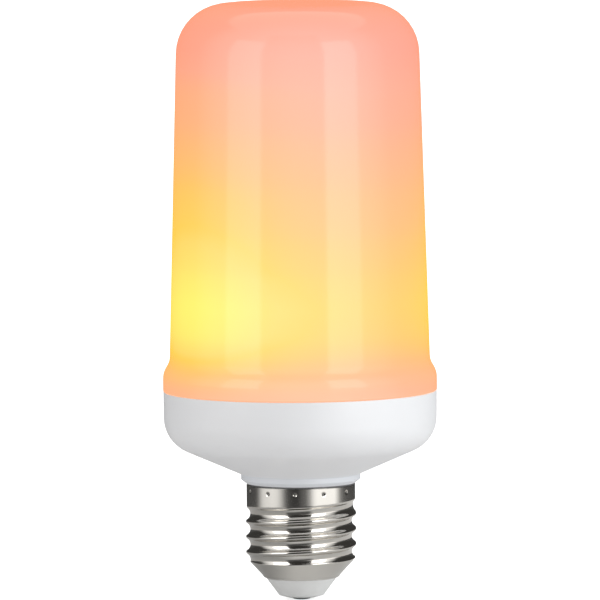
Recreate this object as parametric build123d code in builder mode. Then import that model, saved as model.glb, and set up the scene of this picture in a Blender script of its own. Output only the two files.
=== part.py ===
from build123d import *
import math
import os

os.makedirs("parts", exist_ok=True)

# A flame effect LED lamp: an opal plastic cover on a white plastic base, which ends in an E27 screw cap.
# Sizes in mm. It stands cap down on the Z axis, with z = 0 at the tip of the centre contact.
# The front, which the photograph shows, faces -Y.

# The length over all, and the radius of the cover's rim, which the other round sizes follow
total_height = 141.0
rim_radius = 32.3

# Screw cap, with the round rolled thread of an E27 cap
crest_radius = 13.125
thread_pitch = 3.629
thread_depth = 0.975
shell_wall = 0.4
band_inset = 0.225
cone_inset = 1.125
cone_depth = 3.6
lip_z = 5.2
cone_top_z = 9.0
band_low_z = 24.6
band_height = 3.05
root_radius = crest_radius - thread_depth
band_radius = crest_radius - band_inset
cone_top_radius = crest_radius - cone_inset
lip_radius = cone_top_radius - cone_depth
cap_top_z = band_low_z + band_height

# White base housing: a neck inside the cap, a stepped collar and a shallow bowl
housing_wall = 2.0
neck_wall = 1.55
neck_low_z = 13.0
rim_overhang = 0.05
collar_step = 1.2
collar_height = 2.15
bowl_slope = 23.5
bowl_draft = 0.1
bowl_side_height = 11.8
bowl_corner_radius = 8.4
housing_radius = rim_radius - rim_overhang
collar_radius = band_radius + collar_step
collar_top_z = cap_top_z + collar_height
slope = math.tan(math.radians(bowl_slope))
bowl_foot_radius = housing_radius - bowl_draft
bowl_foot_z = collar_top_z + (bowl_foot_radius - collar_radius) * slope
joint_z = bowl_foot_z + bowl_side_height

# Opal cover: a flared rim, a slight taper and a nearly flat rounded top
cover_wall = 1.6
rim_height = 3.3
flare_height = 4.8
flare_depth = 1.65
cover_draw = 2.3
top_corner_radius = 12.0
crown_rise = 0.45
skirt_inset = 1.8
skirt_wall = 1.2
cover_low_radius = rim_radius - flare_depth
cover_top_radius = cover_low_radius - cover_draw
skirt_radius = rim_radius - skirt_inset
skirt_inside_radius = skirt_radius - skirt_wall

# Tube that carries the LED boards, with the boards wrapped round it and laid on it
light_gap = 14.4
top_room = 16.0
tube_wall = 1.5
flange_gap = 1.4
carrier_drop = 3.9
flex_thickness = 0.4
board_thickness = 1.2
tube_radius = rim_radius - light_gap
tube_top_z = total_height - top_room
flange_radius = skirt_inside_radius - flange_gap
carrier_low_z = joint_z - carrier_drop

# LED chips, in upright columns round the tube
chip_width = 2.8
chip_length = 3.5
chip_height = 0.8
chip_columns = 12
chip_rows = 8

# Clearance between a piece and the piece that it slides into
fit_gap = 0.1


def write(name, piece):
    piece.part.label = name
    export_step(piece.part, "parts/" + name + ".step")


# Screw shell: nickel-plated sheet with a plain band on top and a conical end that grips the insulator.
# The rolled thread is one helical groove, cut by a tool that leaves on a wider circle at its upper end,
# so that the groove fades out under the band. The bore is plain and lies just inside the thread's roots.
bore_gain = 0.05
thread_bore = root_radius - shell_wall + bore_gain
band_bore = band_radius - shell_wall
crest_rise = 1.1
crest_low_z = cone_top_z + crest_rise
band_step = 0.6
cone_angle = math.atan2(cone_top_radius - lip_radius, cone_top_z - lip_z)
inner_lip_radius = lip_radius - shell_wall * math.cos(cone_angle)
inner_lip_z = lip_z + shell_wall * math.sin(cone_angle)
inner_cone_top_z = inner_lip_z + (thread_bore - inner_lip_radius) / math.tan(cone_angle)
groove_start = 5.0
groove_top_gap = 2.2735
groove_low_z = cone_top_z - groove_start
groove_height = band_low_z - groove_top_gap - groove_low_z
groove_turns = groove_height / thread_pitch
groove_root_half = 0.35
groove_bend_half = 0.95
groove_bend_rise = 0.28
crest_half = 0.15
past_crest = 0.1
tool_reach = 1.4
tool_radius = crest_radius + tool_reach
flank_width = thread_pitch / 2 - crest_half - groove_bend_half
flank_slope = flank_width / (crest_radius - root_radius - groove_bend_rise)
groove_open_half = thread_pitch / 2 - crest_half + past_crest * flank_slope
runout_offset = 6.0
runout_angle = 34

with BuildSketch(Plane.XZ) as groove_section:
    with BuildLine():
        Polyline(
            (crest_radius + past_crest, groove_low_z - groove_open_half),
            (root_radius + groove_bend_rise, groove_low_z - groove_bend_half),
            (root_radius, groove_low_z - groove_root_half),
            (root_radius, groove_low_z + groove_root_half),
            (root_radius + groove_bend_rise, groove_low_z + groove_bend_half),
            (crest_radius + past_crest, groove_low_z + groove_open_half),
            (tool_radius, groove_low_z + groove_open_half),
            (tool_radius, groove_low_z - groove_open_half),
            close=True,
        )
    make_face()
groove_path = Helix(
    pitch=thread_pitch,
    height=groove_height,
    radius=crest_radius,
    center=(0, 0, groove_low_z),
)
groove_tool = sweep(groove_section.sketch, path=groove_path, is_frenet=True, mode=Mode.PRIVATE)
groove_end_angle = 360 * groove_turns
groove_end = Pos(0, 0, groove_height) * Rot(0, 0, groove_end_angle)
runout_centre = Rot(0, 0, groove_end_angle) * Pos(-runout_offset, 0, 0)
runout_tool = revolve(
    groove_end * groove_section.sketch,
    axis=Axis(runout_centre.position, (0, 0, 1)),
    revolution_arc=runout_angle,
    mode=Mode.PRIVATE,
)

with BuildPart() as screw_shell:
    with BuildSketch(Plane.XZ):
        with BuildLine():
            Polyline(
                (lip_radius, lip_z),
                (cone_top_radius, cone_top_z),
                (crest_radius, crest_low_z),
                (crest_radius, band_low_z),
                (band_radius, band_low_z + (crest_radius - band_radius)),
                (band_radius, cap_top_z),
                (band_bore, cap_top_z),
                (band_bore, band_low_z + band_step),
                (thread_bore, band_low_z),
                (thread_bore, inner_cone_top_z),
                (inner_lip_radius, inner_lip_z),
                close=True,
            )
        make_face()
    revolve(axis=Axis.Z)
    add(groove_tool, mode=Mode.SUBTRACT)
    add(runout_tool, mode=Mode.SUBTRACT)
write("screw_shell", screw_shell)

# Cap insulator: a white cone that closes the open end of the shell.
# Its flange lies on the inside of the shell's conical end, and its hole takes the contact's rivet.
insulator_low_z = 0.3
insulator_corner_radius = 5.15
insulator_corner_z = 1.05
insulator_top_z = 9.2
flange_inset = 1.0
insulator_flange_radius = thread_bore - flange_inset
insulator_dish_radius = 3.2
rivet_seat_z = 6.5
contact_radius = 2.25
contact_height = 0.9
rivet_radius = 1.15
flange_side_z = inner_lip_z + (insulator_flange_radius - inner_lip_radius) / math.tan(cone_angle)

with BuildPart() as cap_insulator:
    with BuildSketch(Plane.XZ):
        with BuildLine():
            Polyline(
                (rivet_radius, contact_height),
                (contact_radius, contact_height),
                (contact_radius, insulator_low_z),
                (insulator_corner_radius, insulator_corner_z),
                (inner_lip_radius, lip_z),
                (inner_lip_radius, inner_lip_z),
                (insulator_flange_radius, flange_side_z),
                (insulator_flange_radius, insulator_top_z),
                (insulator_dish_radius, insulator_top_z),
                (insulator_dish_radius, rivet_seat_z),
                (rivet_radius, rivet_seat_z),
                close=True,
            )
        make_face()
    revolve(axis=Axis.Z)
write("cap_insulator", cap_insulator)

# Centre contact: a hollow rivet with a low head, spread over the insulator's seat at its upper end.
contact_flat_radius = 1.3
contact_shoulder_radius = 1.95
contact_shoulder_z = 0.12
rivet_bore = 0.65
rivet_bore_low_z = 2.0
rivet_flare_radius = 1.9
rivet_flare = 0.45

with BuildPart() as centre_contact:
    with BuildSketch(Plane.XZ):
        with BuildLine():
            Polyline(
                (0, 0),
                (contact_flat_radius, 0),
                (contact_shoulder_radius, contact_shoulder_z),
                (contact_radius, insulator_low_z),
                (contact_radius, contact_height),
                (rivet_radius, contact_height),
                (rivet_radius, rivet_seat_z),
                (rivet_flare_radius, rivet_seat_z),
                (rivet_flare_radius, rivet_seat_z + rivet_flare),
                (rivet_bore, rivet_seat_z + rivet_flare),
                (rivet_bore, rivet_bore_low_z),
                (0, rivet_bore_low_z),
                close=True,
            )
        make_face()
    revolve(axis=Axis.Z)
write("centre_contact", centre_contact)

# Driver board: a board on edge, narrow where it stands in the neck and wide in the bowl.
neck_inset = 0.35
neck_radius = thread_bore - neck_inset
neck_bore = neck_radius - neck_wall
driver_low_gap = 1.0
driver_top_gap = 1.0
driver_side_gap = 0.8
driver_wing_rise = 3.9
driver_wing_reach = 2.9
driver_low_z = neck_low_z + driver_low_gap
driver_step_z = collar_top_z + driver_wing_rise
driver_top_z = carrier_low_z - driver_top_gap
header_height = 2.4
header_gap = 0.2
can_room = driver_top_z - header_height - header_gap - driver_step_z
driver_low_half = neck_bore - driver_side_gap
driver_high_half = collar_radius + driver_wing_reach
board_face = board_thickness / 2

with BuildPart() as driver_board:
    with BuildSketch(Plane.XZ):
        with BuildLine():
            Polyline(
                (-driver_low_half, driver_low_z),
                (driver_low_half, driver_low_z),
                (driver_low_half, driver_step_z),
                (driver_high_half, driver_step_z),
                (driver_high_half, driver_top_z),
                (-driver_high_half, driver_top_z),
                (-driver_high_half, driver_step_z),
                (-driver_low_half, driver_step_z),
                close=True,
            )
        make_face()
    extrude(amount=board_face, both=True)
write("driver_board", driver_board)

# Base housing: one moulding with the neck, the collar and the bowl.
# Inside it has three screw posts, guides and seats for the driver board, and a ledge under the cover's skirt.
neck_band_radius = band_bore - fit_gap / 2
neck_step_z = band_low_z + band_step
collar_chamfer = 1.15
collar_chamfer_height = 0.9
bowl_lift = housing_wall / math.cos(math.radians(bowl_slope))
bowl_inside_radius = bowl_foot_radius - housing_wall
bowl_inside_z = bowl_foot_z + bowl_lift - housing_wall * slope
bowl_turn = math.radians(90 - bowl_slope)
bowl_corner_cut = (bowl_corner_radius - housing_wall) * math.tan(bowl_turn / 2)
skirt_depth = 3.7
skirt_bore = skirt_radius + fit_gap
skirt_ledge_z = joint_z - skirt_depth - 2 * fit_gap
bead_height = 0.25
bead_drop = 2.0
bead_half = 0.55
bead_z = joint_z - bead_drop
post_radius = 3.2
post_edge = 0.8
post_circle = flange_radius - post_radius - post_edge
screw_radius = 1.2
screw_length = 8.0
guide_width = 1.0
guide_gap = board_face + fit_gap / 2
guide_overlap = 1.2
guide_gap_above = 0.6
guide_low_x = driver_low_half - guide_overlap
guide_top_z = driver_step_z - guide_gap_above
seat_length = 4.0
seat_height = 4.5
seat_low_x = driver_high_half - seat_length
seat_high_x = driver_high_half + guide_overlap
seat_top_z = driver_step_z + seat_height
neutral_radius = 0.35
neutral_y = board_face + neutral_radius
neutral_x = math.sqrt((thread_bore - neutral_radius) ** 2 - neutral_y**2)
neutral_slot = 1.3
neutral_notch_height = 2.8
neutral_end_gap = 4.0
neutral_top_z = band_low_z - neutral_end_gap

with BuildPart(mode=Mode.PRIVATE) as housing_inside:
    with BuildSketch(Plane.XZ):
        with BuildLine():
            Polyline(
                (0, neck_low_z),
                (neck_bore, neck_low_z),
                (neck_bore, bowl_inside_z - (bowl_inside_radius - neck_bore) * slope),
                (bowl_inside_radius - bowl_corner_cut, bowl_inside_z - bowl_corner_cut * slope),
                (bowl_inside_radius, bowl_inside_z + bowl_corner_cut),
                (bowl_inside_radius, skirt_ledge_z),
                (skirt_bore, skirt_ledge_z),
                (skirt_bore, bead_z - bead_half),
                (skirt_bore + bead_height, bead_z),
                (skirt_bore, bead_z + bead_half),
                (skirt_bore, joint_z),
                (0, joint_z),
                close=True,
            )
        make_face()
    revolve(axis=Axis.Z)
    with BuildSketch(Plane.XY.offset(carrier_low_z)):
        with PolarLocations(post_circle, 3, start_angle=90):
            Circle(post_radius)
            Circle(screw_radius, mode=Mode.SUBTRACT)
    extrude(amount=-screw_length, mode=Mode.SUBTRACT)
    with BuildSketch(Plane.XY.offset(carrier_low_z - screw_length)):
        with PolarLocations(post_circle, 3, start_angle=90):
            Circle(post_radius)
    extrude(amount=-screw_length, mode=Mode.SUBTRACT)
    with BuildSketch(Plane.XY.offset(neck_low_z)):
        for side in (-1, 1):
            for face in (-1, 1):
                with Locations(
                    (side * (guide_low_x + neck_radius) / 2, face * (guide_gap + guide_width / 2))
                ):
                    Rectangle(neck_radius - guide_low_x, guide_width)
    extrude(amount=guide_top_z - neck_low_z, mode=Mode.SUBTRACT)
    with BuildSketch(Plane.XY.offset(seat_top_z)):
        for side in (-1, 1):
            for face in (-1, 1):
                with Locations(
                    (side * (seat_low_x + seat_high_x) / 2, face * (guide_gap + guide_width / 2))
                ):
                    Rectangle(seat_high_x - seat_low_x, guide_width)
    extrude(amount=-seat_top_z, mode=Mode.SUBTRACT)
    with BuildSketch(Plane.XY.offset(driver_step_z)):
        for side in (-1, 1):
            with Locations((side * (seat_low_x + seat_high_x) / 2, 0)):
                Rectangle(seat_high_x - seat_low_x, 2 * guide_gap)
    extrude(amount=-driver_step_z, mode=Mode.SUBTRACT)

with BuildPart() as base_housing:
    with BuildSketch(Plane.XZ):
        with BuildLine():
            FilletPolyline(
                (0, neck_low_z),
                (neck_radius, neck_low_z),
                (neck_radius, neck_step_z),
                (neck_band_radius, neck_step_z + band_step),
                (neck_band_radius, cap_top_z),
                (collar_radius - collar_chamfer, cap_top_z),
                (collar_radius, cap_top_z + collar_chamfer_height),
                (collar_radius, collar_top_z),
                (bowl_foot_radius, bowl_foot_z),
                (housing_radius, joint_z),
                (0, joint_z),
                radius=[0, 0, 0, 0, 0, 0, 0, bowl_corner_radius, 0],
            )
            Line((0, joint_z), (0, neck_low_z))
        make_face()
    revolve(axis=Axis.Z)
    add(housing_inside.part, mode=Mode.SUBTRACT)
    with Locations((-neck_radius, -neutral_y, neck_low_z)):
        Box(3 * neck_wall, neutral_slot, 2 * neutral_notch_height, mode=Mode.SUBTRACT)
    with Locations((-neutral_x, -neutral_y, neck_low_z)):
        Box(
            2 * (neutral_radius + fit_gap),
            neutral_slot,
            neutral_top_z + fit_gap - neck_low_z,
            align=(Align.CENTER, Align.CENTER, Align.MIN),
            mode=Mode.SUBTRACT,
        )
write("base_housing", base_housing)

# Cover: an opal moulding whose flared rim sits on the housing's edge.
# The skirt below the rim slides into the housing, and its bead snaps into the groove there.
skirt_low_z = joint_z - skirt_depth
flare_low_z = joint_z + rim_height
flare_top_z = flare_low_z + flare_height
crown_low_z = total_height - crown_rise
crown_radius = (cover_top_radius**2 + crown_rise**2) / (2 * crown_rise)
crown_half_angle = math.asin(cover_top_radius / crown_radius) / 2
cover_taper = (cover_low_radius - cover_top_radius) / (crown_low_z - flare_top_z)
inside_top_z = total_height - cover_wall
inside_corner_cut = top_corner_radius - cover_wall
inside_corner_bend = inside_corner_cut * (1 - math.cos(math.pi / 4))
inside_top_radius = cover_top_radius - cover_wall

with BuildPart() as diffuser_cover:
    with BuildSketch(Plane.XZ) as cover_section:
        with BuildLine():
            Polyline(
                (skirt_radius, joint_z),
                (rim_radius, joint_z),
                (rim_radius, flare_low_z),
                (cover_low_radius, flare_top_z),
                (cover_top_radius, crown_low_z),
            )
            ThreePointArc(
                (cover_top_radius, crown_low_z),
                (
                    crown_radius * math.sin(crown_half_angle),
                    total_height - crown_radius * (1 - math.cos(crown_half_angle)),
                ),
                (0, total_height),
            )
            Polyline(
                (0, total_height),
                (0, inside_top_z),
                (inside_top_radius - inside_corner_cut, inside_top_z),
                (inside_top_radius - inside_corner_bend, inside_top_z - inside_corner_bend),
                (inside_top_radius + inside_corner_cut * cover_taper, inside_top_z - inside_corner_cut),
                (cover_low_radius - cover_wall, flare_top_z),
                (skirt_inside_radius, skirt_low_z),
                (skirt_radius, skirt_low_z),
                (skirt_radius, bead_z - bead_half),
                (skirt_radius + bead_height, bead_z),
                (skirt_radius, bead_z + bead_half),
                (skirt_radius, joint_z),
            )
        make_face()
        fillet(
            cover_section.vertices().sort_by_distance((cover_top_radius, crown_low_z))[0],
            radius=top_corner_radius,
        )
    revolve(axis=Axis.Z)
write("diffuser_cover", diffuser_cover)

# LED carrier: a tube on a flange, moulded in one. The flange rests on the housing's three posts.
# Under it a ledge holds the control board, and two posts inside the tube take the top board's screws.
flange_height = 2.0
flange_top_z = carrier_low_z + flange_height
tube_bore = tube_radius - tube_wall
ledge_lift = 3.8
ledge_height = 1.4
ledge_width = 1.5
ledge_low_z = carrier_low_z + ledge_lift
ledge_bore = tube_bore - ledge_width
screw_play = 0.3
screw_hole = screw_radius + screw_play
top_screw_radius = 0.9
top_screw_length = 7.0
top_post_radius = 2.4
top_post_sink = 0.3
top_post_circle = tube_bore - top_post_radius + top_post_sink
top_post_height = 10.0
ledge_top_z = ledge_low_z + ledge_height
tongue_width = 6.0

with BuildPart() as led_carrier:
    with BuildSketch(Plane.XZ):
        with BuildLine():
            Polyline(
                (tube_bore, carrier_low_z),
                (flange_radius, carrier_low_z),
                (flange_radius, flange_top_z),
                (tube_radius, flange_top_z),
                (tube_radius, tube_top_z),
                (tube_bore, tube_top_z),
                (tube_bore, ledge_top_z),
                (ledge_bore, ledge_top_z),
                (ledge_bore, ledge_low_z),
                (tube_bore, ledge_low_z),
                close=True,
            )
        make_face()
    revolve(axis=Axis.Z)
    with BuildSketch(Plane.XY.offset(flange_top_z)):
        with PolarLocations(post_circle, 3, start_angle=90):
            Circle(screw_hole)
    extrude(amount=-flange_height, mode=Mode.SUBTRACT)
    with BuildSketch(Plane.XY.offset(tube_top_z)):
        with PolarLocations(top_post_circle, 2):
            Circle(top_post_radius)
    extrude(amount=-top_post_height)
    with BuildSketch(Plane.XY.offset(tube_top_z)):
        with PolarLocations(top_post_circle, 2):
            Circle(top_screw_radius)
    extrude(amount=-top_screw_length, mode=Mode.SUBTRACT)
    with BuildSketch(Plane.XY.offset(ledge_top_z)):
        with Locations((0, tube_radius)):
            Rectangle(tongue_width + 2 * fit_gap, 4 * tube_wall)
    extrude(amount=flex_thickness + fit_gap, mode=Mode.SUBTRACT)
write("led_carrier", led_carrier)

# Side board: a flexible board wrapped round the tube, with its seam on the left.
# A tongue at the front folds over the top board. A tongue at the back goes in through the carrier's slot
# and folds down to the control board.
slot_clearance = 0.4
side_board_low_z = ledge_top_z + flex_thickness + slot_clearance
side_board_radius = tube_radius + flex_thickness
seam_width = 2.0
top_tongue_reach = 5.4
low_tongue_reach = 5.6
top_tongue_y = tube_radius - top_tongue_reach
low_tongue_y = tube_radius - low_tongue_reach
top_board_z = tube_top_z + board_thickness

with BuildPart() as side_led_board:
    with BuildSketch(Plane.XY.offset(side_board_low_z)):
        Circle(side_board_radius)
        Circle(tube_radius, mode=Mode.SUBTRACT)
        with Locations((-tube_radius, 0)):
            Rectangle(4 * flex_thickness, seam_width, mode=Mode.SUBTRACT)
    extrude(amount=tube_top_z - side_board_low_z)
    with BuildSketch(Plane.XY.offset(tube_top_z)):
        Circle(side_board_radius)
        Circle(tube_radius, mode=Mode.SUBTRACT)
        with Locations((0, -side_board_radius)):
            Rectangle(tongue_width, tube_radius, mode=Mode.INTERSECT)
    extrude(amount=board_thickness + flex_thickness)
    with BuildSketch(Plane.XY.offset(top_board_z)):
        Circle(side_board_radius)
        with Locations((0, -top_tongue_y)):
            Rectangle(tongue_width, tube_radius, align=(Align.CENTER, Align.MAX), mode=Mode.INTERSECT)
    extrude(amount=flex_thickness)
    with BuildSketch(Plane.XY.offset(side_board_low_z)):
        Circle(side_board_radius)
        Circle(tube_radius, mode=Mode.SUBTRACT)
        with Locations((0, side_board_radius)):
            Rectangle(tongue_width, tube_radius, mode=Mode.INTERSECT)
    extrude(amount=ledge_top_z - side_board_low_z)
    with BuildSketch(Plane.XY.offset(ledge_top_z)):
        Circle(side_board_radius)
        with Locations((0, low_tongue_y)):
            Rectangle(tongue_width, tube_radius, align=(Align.CENTER, Align.MIN), mode=Mode.INTERSECT)
    extrude(amount=flex_thickness)
    with BuildSketch(Plane.XY.offset(ledge_low_z)):
        with Locations((0, low_tongue_y)):
            Rectangle(tongue_width, flex_thickness, align=(Align.CENTER, Align.MIN))
    extrude(amount=ledge_height)
write("side_led_board", side_led_board)

# Side LED chips: twelve upright columns of chips on the side board, one node for each column.
low_margin = 5.8
high_margin = 4.7
first_row_z = side_board_low_z + low_margin + chip_length / 2
last_row_z = tube_top_z - high_margin - chip_length / 2
chip_row_spacing = (last_row_z - first_row_z) / (chip_rows - 1)

for column in range(chip_columns):
    angle = math.radians(360 / chip_columns * (column + 0.5))
    outward = (math.cos(angle), math.sin(angle), 0)
    face_plane = Plane(
        origin=(side_board_radius * outward[0], side_board_radius * outward[1], 0),
        x_dir=(-outward[1], outward[0], 0),
        z_dir=outward,
    )
    with BuildPart() as led_column:
        with BuildSketch(face_plane):
            for row in range(chip_rows):
                with Locations((0, first_row_z + row * chip_row_spacing)):
                    Rectangle(chip_width, chip_length)
        extrude(amount=chip_height)
    write(f"led_column_{column + 1:02d}", led_column)

# Top board: a round board on the tube's end, with a ring of six chips and two screws.
top_board_radius = tube_radius - fit_gap
top_hole_play = 0.25
top_chip_circle = top_post_circle / 1.8
top_chip_count = 6

with BuildPart() as top_led_board:
    with BuildSketch(Plane.XY.offset(tube_top_z)):
        Circle(top_board_radius)
        with PolarLocations(top_post_circle, 2):
            Circle(top_screw_radius + top_hole_play, mode=Mode.SUBTRACT)
    extrude(amount=board_thickness)
write("top_led_board", top_led_board)

with BuildPart() as top_led_chips:
    with BuildSketch(Plane.XY.offset(top_board_z)):
        with PolarLocations(top_chip_circle, top_chip_count):
            Rectangle(chip_length, chip_width)
    extrude(amount=chip_height)
write("top_led_chips", top_led_chips)

# Screws: pan heads with plain shanks, three through the carrier's flange and two through the top board.
head_radius = 2.3
head_height = 1.5
top_head_radius = 1.7
top_head_height = 1.1
head_taper = 12
tip_gap = 0.5

with BuildPart() as carrier_screws:
    with BuildSketch(Plane.XY.offset(flange_top_z)):
        with PolarLocations(post_circle, 3, start_angle=90):
            Circle(head_radius)
    extrude(amount=head_height, taper=head_taper)
    with BuildSketch(Plane.XY.offset(flange_top_z)):
        with PolarLocations(post_circle, 3, start_angle=90):
            Circle(screw_radius)
    extrude(amount=-(screw_length + flange_height - tip_gap))
write("carrier_screws", carrier_screws)

with BuildPart() as top_board_screws:
    with BuildSketch(Plane.XY.offset(top_board_z)):
        with PolarLocations(top_post_circle, 2):
            Circle(top_head_radius)
    extrude(amount=top_head_height, taper=head_taper)
    with BuildSketch(Plane.XY.offset(top_board_z)):
        with PolarLocations(top_post_circle, 2):
            Circle(top_screw_radius)
    extrude(amount=-(top_screw_length + board_thickness - tip_gap))
write("top_board_screws", top_board_screws)

# Control board: a round board held up against the carrier's ledge by the pins below it.
control_radius = tube_bore - 2 * fit_gap
control_low_z = ledge_low_z - board_thickness

with BuildPart() as control_board:
    with BuildSketch(Plane.XY.offset(control_low_z)):
        Circle(control_radius)
    extrude(amount=board_thickness)
write("control_board", control_board)

# Pin header: a row of square pins in a plastic block on the driver board's edge, up to the control board.
pin_count = 6
pin_pitch = 2.54
pin_width = 0.64
header_depth = 2.5

with BuildPart() as pin_header:
    with BuildSketch(Plane.XY.offset(driver_top_z)):
        with Locations((0, board_face + header_depth / 2)):
            Rectangle(pin_count * pin_pitch, header_depth)
    extrude(amount=-header_height)
    with BuildSketch(Plane.XY.offset(driver_top_z)):
        with Locations((0, board_face + header_depth / 2)):
            with GridLocations(pin_pitch, 0, pin_count, 1):
                Rectangle(pin_width, pin_width)
    extrude(amount=control_low_z - driver_top_z)
write("pin_header", pin_header)


# A chip with gull-wing legs lies flat on its plane; legs come out on both long sides.
chip_leg_length = 0.9
chip_leg_width = 0.4
chip_leg_height = 0.3
chip_body_width = 3.9
chip_body_height = 1.5


def flat_chip(length, width, height, legs, plane):
    pitch = length / legs
    with BuildPart(mode=Mode.PRIVATE) as chip:
        with BuildSketch(plane):
            Rectangle(length, width)
        extrude(amount=height)
        with BuildSketch(plane):
            with GridLocations(pitch, 0, legs, 1):
                Rectangle(chip_leg_width, width + 2 * chip_leg_length)
        extrude(amount=chip_leg_height)
    return chip


# Controller chip: it makes the flame pattern, on top of the control board.
controller_length = 10.0
controller_legs = 8
controller_plane = Plane.XY.offset(ledge_low_z)
controller_chip = flat_chip(
    controller_length, chip_body_width, chip_body_height, controller_legs, controller_plane
)
write("controller_chip", controller_chip)

# Driver chip and bridge rectifier, on the driver board's front face
front_face = Plane(origin=(0, -board_face, 0), x_dir=(1, 0, 0), z_dir=(0, -1, 0))
can_circle_gap = 0.4
drum_radius = 4.4
drum_gap = 1.35
driver_chip_length = 4.9
driver_chip_legs = 4
driver_chip_rise = 0.8
can_z = driver_step_z + can_room / 2
drum_x = can_circle_gap + drum_radius - seat_low_x
driver_chip_x = drum_x + drum_radius + drum_gap + driver_chip_length / 2
driver_chip_z = can_z + driver_chip_rise
driver_chip_plane = front_face.shift_origin((driver_chip_x, -board_face, driver_chip_z))
driver_chip = flat_chip(
    driver_chip_length, chip_body_width, chip_body_height, driver_chip_legs, driver_chip_plane
)
write("driver_chip", driver_chip)
bridge_length = 4.7
bridge_width = 4.0
bridge_height = 2.3
bridge_legs = 2
bridge_drop = 4.6
bridge_plane = front_face.shift_origin((0, -board_face, driver_step_z - bridge_drop))
bridge_rectifier = flat_chip(bridge_length, bridge_width, bridge_height, bridge_legs, bridge_plane)
write("bridge_rectifier", bridge_rectifier)

# Electrolytic capacitors: cans with a rolled groove near the foot, standing on the driver board's back face
back_face = Plane(origin=(0, board_face, 0), x_dir=(-1, 0, 0), z_dir=(0, 1, 0))
can_groove = 0.35
can_groove_height = 1.6


def capacitor_can(radius, height, plane):
    with BuildPart(mode=Mode.PRIVATE) as can:
        with BuildSketch(plane):
            Circle(radius)
        extrude(amount=height)
        with BuildSketch(plane.offset(can_groove_height)):
            Circle(radius)
            Circle(radius - can_groove, mode=Mode.SUBTRACT)
        extrude(amount=2 * can_groove, mode=Mode.SUBTRACT)
    return can


input_can_radius = can_room / 2
input_can_height = 12.0
smaller_can = 0.85
output_can_radius = input_can_radius - smaller_can
output_can_height = 9.0
input_can_x = can_circle_gap + input_can_radius - seat_low_x
output_can_x = seat_low_x - output_can_radius - can_circle_gap
input_can_plane = back_face.shift_origin((input_can_x, board_face, can_z))
output_can_plane = back_face.shift_origin((output_can_x, board_face, can_z))
input_capacitor = capacitor_can(input_can_radius, input_can_height, input_can_plane)
write("input_capacitor", input_capacitor)
output_capacitor = capacitor_can(output_can_radius, output_can_height, output_can_plane)
write("output_capacitor", output_capacitor)

# Inductor: a ferrite drum with its winding, on the driver board's front face
drum_flange = 1.2
drum_height = 8.0
winding_radius = 3.9

with BuildPart() as inductor:
    drum_plane = front_face.shift_origin((drum_x, -board_face, can_z))
    with BuildSketch(drum_plane):
        Circle(drum_radius)
    extrude(amount=drum_flange)
    with BuildSketch(drum_plane.offset(drum_flange)):
        Circle(winding_radius)
    extrude(amount=drum_height - 2 * drum_flange)
    with BuildSketch(drum_plane.offset(drum_height - drum_flange)):
        Circle(drum_radius)
    extrude(amount=drum_flange)
write("inductor", inductor)

# Fusible resistor: a body along the neck, with its two legs bent down to the driver board
resistor_radius = 1.5
resistor_length = 8.0
resistor_rise = 9.0
resistor_gap = 0.4
resistor_z = driver_low_z + resistor_rise
resistor_y = board_face + resistor_radius + resistor_gap
leg_width = 0.5
leg_reach = 1.8

with BuildPart() as fusible_resistor:
    with BuildSketch(Plane.XY.offset(resistor_z - resistor_length / 2)):
        with Locations((0, resistor_y)):
            Circle(resistor_radius)
    extrude(amount=resistor_length)
    with BuildSketch(Plane.YZ):
        for end in (-1, 1):
            body_end_z = resistor_z + end * resistor_length / 2
            with BuildLine():
                Polyline(
                    (resistor_y + leg_width / 2, body_end_z),
                    (resistor_y + leg_width / 2, body_end_z + end * leg_reach),
                    (board_face, body_end_z + end * leg_reach),
                    (board_face, body_end_z + end * (leg_reach - leg_width)),
                    (resistor_y - leg_width / 2, body_end_z + end * (leg_reach - leg_width)),
                    (resistor_y - leg_width / 2, body_end_z),
                    close=True,
                )
            make_face()
    extrude(amount=leg_width / 2, both=True)
write("fusible_resistor", fusible_resistor)


# A lead is a round wire along straight runs joined by tangent arcs.
# Each arc is as large as its two runs allow, and the volume is compared with section times length.
def bend_radii(points):
    radii = []
    for before, corner, after in zip(points, points[1:], points[2:]):
        run_in = Vector(*corner) - Vector(*before)
        run_out = Vector(*after) - Vector(*corner)
        turn = math.radians(run_in.get_angle(run_out))
        radii.append(0.45 * min(run_in.length, run_out.length) / math.tan(turn / 2))
    return radii


def wire_lead(name, radius, points):
    radii = bend_radii(points)
    start = Vector(*points[0])
    with BuildPart(mode=Mode.PRIVATE) as lead:
        with BuildLine() as route:
            FilletPolyline(*points, radius=radii)
        with BuildSketch(Plane(origin=start, z_dir=Vector(*points[1]) - start)):
            Circle(radius)
        sweep()
    length = sum(edge.length for edge in route.edges())
    share = lead.part.volume / (math.pi * radius**2 * length)
    print(name, "bend radii", [round(r, 2) for r in radii], "volume share", round(share, 4))
    write(name, lead)


# Live lead: from the bottom of the contact's hollow rivet to the driver board's back face
live_radius = 0.55
live_y = board_face + live_radius
live_foot = 0.6
live_bend_drop = 4.4
live_turn_drop = 1.2
live_end_rise = 2.6
wire_lead(
    "live_lead",
    live_radius,
    [
        (0, 0, rivet_bore_low_z + live_foot),
        (0, 0, driver_low_z - live_bend_drop),
        (0, live_y, driver_low_z - live_turn_drop),
        (0, live_y, driver_low_z + live_end_rise),
    ],
)

# Neutral lead: a bare wire from the driver board, through the neck's notch, up between neck and shell
neutral_board_x = 5.0
neutral_board_rise = 2.8
neutral_drop = 1.6
neutral_low_z = neck_low_z - neutral_drop
wire_lead(
    "neutral_lead",
    neutral_radius,
    [
        (-neutral_board_x, -neutral_y, driver_low_z + neutral_board_rise),
        (-neutral_board_x, -neutral_y, neutral_low_z),
        (-neutral_x, -neutral_y, neutral_low_z),
        (-neutral_x, -neutral_y, neutral_top_z),
    ],
)
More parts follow.
